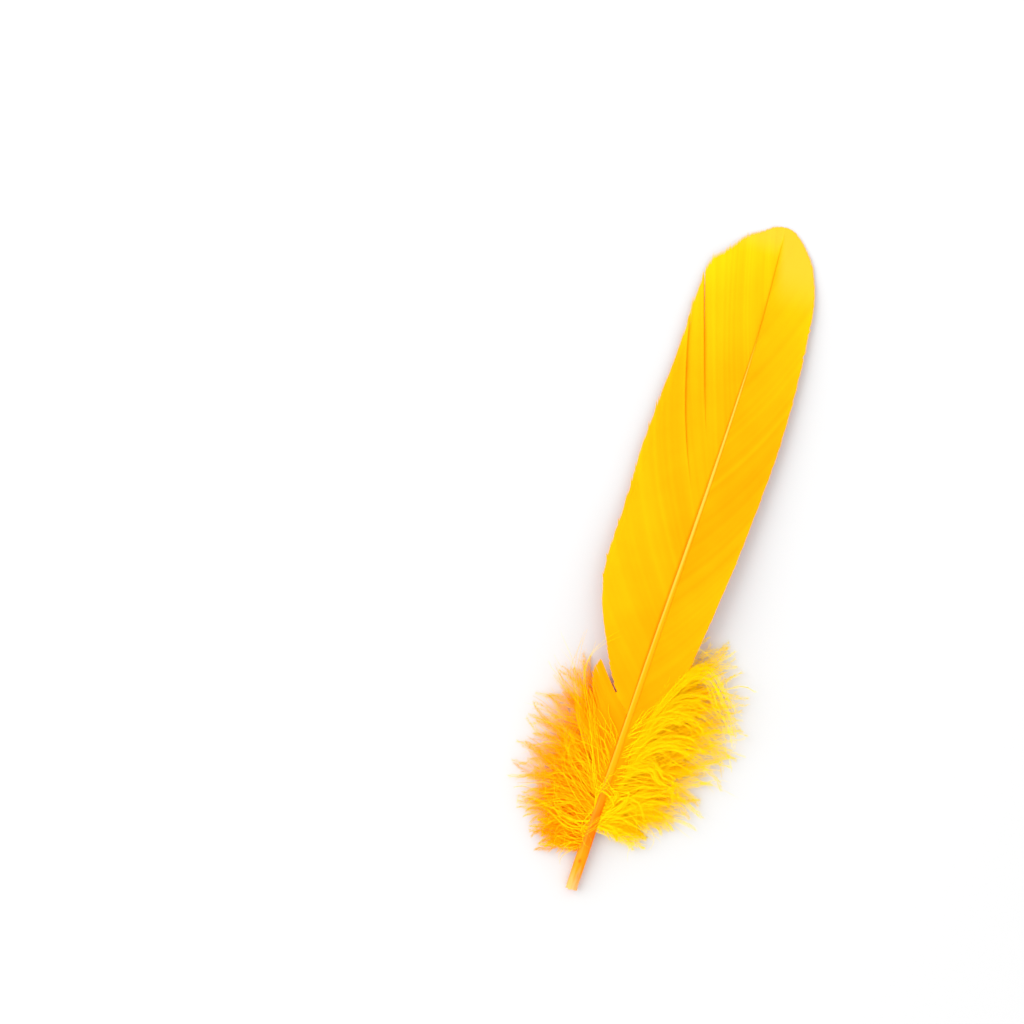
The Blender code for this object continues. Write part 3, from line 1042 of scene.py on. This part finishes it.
# Locks of the down: how many barbs, how far apart they end, and the path of their middle
# from the shaft outwards as (across, along, height).
LEFT_OVER = locks(
    (16, 1.4, (-1.0, 26, 3.6), (-5.2, 36.4, 5.8), (-10, 43.4, 6.0), (-14.3, 47.6, 5.4),
     (-19.6, 51.2, 4.6), (-23, 55.5, 4.0)),
    (12, 1.3, (-1.0, 27, 3.6), (-6, 36, 5.6), (-11.4, 43, 5.8), (-13.6, 49, 5.2), (-15.6, 53, 4.8),
     (-15.6, 59, 4.4), (-15.0, 65, 4.0)),
    (12, 1.5, (-1.0, 24, 3.2), (-5, 34, 5.6), (-9.4, 40.5, 5.6), (-16.5, 42, 4.4),
     (-23.5, 40, 3.0)),
    (12, 2.0, (-1.0, 19, 2.8), (-5, 25.5, 5.0), (-11.7, 28.4, 5.0), (-20, 26.4, 3.0)),
    (10, 2.0, (-1.0, 17, 2.6), (-4, 22.5, 4.8), (-9.8, 23.0, 4.6), (-16, 20.8, 2.6)),
)
LEFT_STRANDS = locks(
    (9, 0.9, (-1.2, 25, 4.2), (-4.6, 32, 6.2), (-8.3, 41, 6.6), (-11.0, 48, 6.4),
     (-13.6, 55, 5.8)),
    (5, 1.8, (-1.2, 16, 3.8), (-7, 17, 5.0), (-13, 18.5, 4.2), (-18.5, 18.4, 3.0), (-20, 13, 1.8)),
    (4, 1.6, (-1.2, 20, 4.0), (-8, 20.5, 5.2), (-14, 16.5, 4.0), (-14.4, 10, 2.0)),
    (3, 0.5, (-1.2, 20, 4.0), (-2.8, 15.5, 4.8), (1.4, 11.8, 4.4)),
    (7, 1.4, (-1.4, 22, 4.2), (-1.6, 26, 5.8), (0.6, 30.5, 6.2), (3.4, 32, 6.0)),
    (3, 0.5, (-1.2, 28, 4.4), (-6, 37, 6.0), (-11.4, 46, 6.4), (-14.4, 54, 6.6),
     (-12.6, 61.8, 7.0), (-7, 67, 7.4), (-2.2, 70.4, 7.7)),
    (6, 1.6, (-1.2, 22, 4.0), (-7, 26, 6.2), (-13, 33, 5.6), (-12, 41, 5.4), (-15.4, 47, 4.6)),
    (6, 1.8, (-1.2, 18, 4.0), (-6, 17, 5.4), (-12, 20, 4.6), (-14, 26, 4.0), (-19, 29, 3.0)),
    (5, 1.6, (-1.2, 26, 4.2), (-7, 34, 6.0), (-12.5, 42, 5.6), (-17.4, 52, 5.0), (-23, 58.5, 4.0)),
    (4, 1.8, (-1.2, 24, 4.0), (-8, 33, 5.8), (-15, 38.5, 5.0), (-24.5, 40.5, 3.0)),
)
RIGHT_UNDER = locks(
    (14, 3.0, (1.4, 36, 4.0), (7, 46, 4.0), (13, 52, 3.6), (20, 55, 2.8), (26, 55, 1.6)),
    (10, 2.6, (1.4, 40, 4.2), (7, 52, 4.0), (12.5, 60, 3.4), (18, 65, 2.4)),
)
RIGHT_STRANDS = locks(
    (5, 1.5, (1.6, 27, 4.4), (5.6, 27, 5.6), (4.6, 23.8, 6.2), (1.2, 19.4, 5.6), (-2.2, 14.8, 4.6),
     (-11.2, 10.2, 2.2)),
    (8, 1.7, (1.6, 22, 4.2), (2.8, 25, 6.0), (0.4, 27.2, 6.4), (-3.4, 28.2, 5.8), (-8, 29.4, 5.0)),
    (6, 1.8, (1.6, 34, 5.0), (5.8, 50, 6.8), (9.0, 57.5, 7.2), (12.4, 62.6, 7.2), (16.4, 63, 6.8),
     (21.5, 57, 6.0), (25, 50, 5.0)),
    (3, 1.6, (1.6, 20, 4.0), (4.6, 26, 6.4), (9, 25, 6.0), (12, 18, 4.0), (13.4, 9, 1.6)),
)
RIGHT_OVER = locks(
    (14, 2.4, (1.6, 17, 2.6), (5, 24, 5.0), (10, 28.5, 5.2), (15.5, 30, 4.0), (20.5, 28.5, 2.0)),
    (12, 1.0, (1.6, 23, 3.4), (4.7, 34.2, 6.0), (8.7, 36.4, 6.4), (11.4, 34.4, 6.2),
     (15, 33.4, 5.4), (17.4, 28.5, 4.0)),
    (16, 1.7, (1.6, 24, 3.6), (5.9, 38.4, 6.2), (8.4, 41.3, 6.8), (11.1, 42.8, 7.0),
     (17, 43.3, 6.2), (26, 40.5, 3.6)),
    (14, 1.4, (1.6, 30, 4.2), (5.4, 42.5, 6.2), (7.0, 46.6, 6.8), (9.3, 48.6, 7.0),
     (14.5, 48.6, 6.6), (19.5, 45.2, 5.0)),
    (16, 2.2, (1.4, 33, 4.6), (5.8, 49.4, 6.2), (8.8, 56.5, 6.6), (12, 61.5, 6.6), (16, 62.0, 6.2),
     (20.7, 57, 5.4), (24.6, 53, 4.4), (28, 47, 3.0)),
    (13, 2.4, (1.5, 35, 4.6), (6, 48, 6.0), (10, 54, 6.4), (15, 56, 6.0), (20, 54, 5.0),
     (25, 48, 3.6)),
    (12, 2.4, (1.5, 32, 4.4), (6, 44, 6.0), (10, 50, 6.2), (16, 51.5, 5.6), (23, 48, 3.8),
     (28, 42, 2.4)),
    (10, 1.6, (1.5, 37, 4.8), (6.4, 53, 6.0), (9.8, 61, 6.2), (13.4, 66.5, 5.8), (18, 66, 5.0)),
)


@dataclass
class Feather:
    """The whole feather, put together from its shaft, webs and down."""

    line: ShaftLine = ShaftLine()

    def webs(self) -> list[Web]:
        """The two webs."""
        left_splits = (Split(107.8, 0.14, 0.75, (-0.3, 0.6), sink=0.1, grip=4.5),
                       Split(97.6, 0.08, 0.7, (-0.3, 0.6), sink=0.1, grip=4.5))
        return [Web("web_left", Side.LEFT, self.line, LEFT_ROWS, LEFT_BOW, left_splits, seed=3,
                    thin_from=(0.95, 0.985)),
                Web("web_right", Side.RIGHT, self.line, RIGHT_ROWS, RIGHT_BOW, seed=8)]

    def tufts(self) -> list[Tuft]:
        """The down, three layers on each side."""
        short = ((0, 10.0), (0.3, 20.0), (0.7, 24.0), (1, 20.0))
        long = ((0, 11.0), (0.3, 24.0), (0.7, 30.0), (1, 24.0))
        swept = {"length": long, "finish": ((0, 92.0), (1, 50.0))}
        layers = (
            (Side.LEFT, "under", Fan((10, 42), 158, short, crest=0.8), (), dict(
                level=-0.5, barbules=72, fan_barbule=2.4, barbule_width=0.1, tone=0.42, seed=21)),
            (Side.LEFT, "over", Fan((12, 40), 90, short, curl=1.0), LEFT_OVER, dict(
                fan_barbule=0.8, lock_barbule=0.85, tone=0.2, seed=22)),
            (Side.LEFT, "strands", Fan((11, 40), 136, short, crest=3.2, curl=1.3, scatter=48),
             LEFT_STRANDS, dict(level=0.5, barbules=30, fan_barbule=0.34, lock_barbule=0.3,
                                core=0.1, tone=0.68, seed=25)),
            (Side.RIGHT, "under", Fan((17, 52), 142, crest=0.8, **swept), RIGHT_UNDER, dict(
                level=-0.5, barbules=76, fan_barbule=2.7, lock_barbule=2.3, barbule_width=0.12,
                tone=1.0, seed=23)),
            (Side.RIGHT, "over", Fan((19, 46), 90, curl=0.6, **swept), RIGHT_OVER, dict(
                barbules=72, fan_barbule=2.0, lock_barbule=1.6, barbule_width=0.085, tone=1.05,
                seed=24)),
            (Side.RIGHT, "strands", Fan((16, 44), 110, crest=3.4, curl=0.9, scatter=34, **swept),
             RIGHT_STRANDS, dict(level=0.5, barbules=38, fan_barbule=0.5, lock_barbule=0.4,
                                 core=0.09, tone=1.1, seed=26)))
        return [Tuft(f"down_{side.name.lower()}_{layer}", side, self.line, fan, tied, **rest)
                for side, layer, fan, tied, rest in layers]

    def build(self) -> None:
        """Builds and dresses every piece."""
        shaft = QuillShaft(self.line).build()
        place_piece(shaft, "quill_shaft", HornFinish().build())
        web_finish = WEB_FINISH.build()
        for web in self.webs():
            node = "vane_left" if web.side is Side.LEFT else "vane_right"
            place_piece(web.build(), node, web_finish)
        down_finish = DOWN_FINISH.build()
        for tuft in self.tufts():
            node = "down_left" if tuft.side is Side.LEFT else "down_right"
            place_piece(tuft.build(), node, down_finish)


@dataclass(frozen=True)
class Studio:
    """A white table in soft light from above and the left, seen from straight above."""

    view_mm: float = 257.8  # width of table in view
    centre_across: float = -43.6  # middle of the view, in feather millimetres
    centre_along: float = 85.7
    lean_deg: float = 17.76  # how far the feather leans to the right of the view's upright
    lens_mm: float = 85.0
    sensor_mm: float = 36.0
    table_m: float = 3.0
    world_strength: float = 1.45
    key_power: float = 15.5
    key_size: float = 1.3
    key_place: tuple[float, float, float] = (-1.0, 0.45, 1.0)  # right, up, height
    bounces: int = 24  # light scatters many times in down before it leaves
    diffuse_bounces: int = 16

    def build(self) -> None:
        """Makes the table, the lights and the camera."""
        self.table()
        self.lights()
        self.camera()

    def table(self) -> None:
        """The paper on the table, with its top at height zero."""
        deselect_all()
        bpy.ops.mesh.primitive_plane_add(size=self.table_m, location=(0, 0, 0))
        sheet = bpy.context.object
        sheet.name = sheet.data.name = "paper_floor"
        sheet.data.materials.append(PaperFinish().build())

    def aim(self, item: Object, target: Vector) -> None:
        """Turns a lamp or camera to face a point."""
        item.rotation_euler = (target - item.location).to_track_quat("-Z", "Y").to_euler()

    def from_view(self, right: float, up: float, height: float) -> Vector:
        """A place given by the view's own right and up, in metres from its middle."""
        turn = math.radians(self.lean_deg)
        middle = world(np.array([self.centre_across, self.centre_along, 0.0]))
        x = middle[0] + right * math.cos(turn) - up * math.sin(turn)
        y = middle[1] + right * math.sin(turn) + up * math.cos(turn)
        return Vector((x, y, height))

    def lights(self) -> None:
        """One big soft key from the upper left, and an even white surround."""
        lamp = bpy.data.lights.new("key_softbox", "AREA")
        lamp.shape = "SQUARE"
        lamp.size = self.key_size
        lamp.energy = self.key_power
        key = bpy.data.objects.new("key_softbox", lamp)
        bpy.context.scene.collection.objects.link(key)
        key.location = self.from_view(*self.key_place)
        self.aim(key, self.from_view(0.1, 0, 0))
        room = bpy.data.worlds.new("white_room")
        room.use_nodes = True
        background = room.node_tree.nodes["Background"]
        background.inputs["Color"].default_value = linear("#FFFFFF")
        background.inputs["Strength"].default_value = self.world_strength
        bpy.context.scene.world = room
        bpy.context.scene.view_settings.view_transform = "Standard"
        paths = bpy.context.scene.cycles
        paths.max_bounces = paths.transmission_bounces = self.bounces
        paths.diffuse_bounces = self.diffuse_bounces

    def camera(self) -> None:
        """A camera that looks straight down."""
        lens = bpy.data.cameras.new("camera_above")
        lens.lens = self.lens_mm
        lens.sensor_width = self.sensor_mm
        lens.clip_start = 0.01
        camera = bpy.data.objects.new("camera_above", lens)
        bpy.context.scene.collection.objects.link(camera)
        height = self.view_mm * MM * self.lens_mm / self.sensor_mm
        camera.location = self.from_view(0, 0, height)
        camera.rotation_euler = (0, 0, math.radians(self.lean_deg))
        bpy.context.scene.camera = camera


def main() -> None:
    """Builds the feather, then the studio round it."""
    logging.basicConfig(level=logging.INFO, format="%(name)s: %(message)s")
    Studio().build()
    Feather().build()


if __name__ == "__main__":
    main()
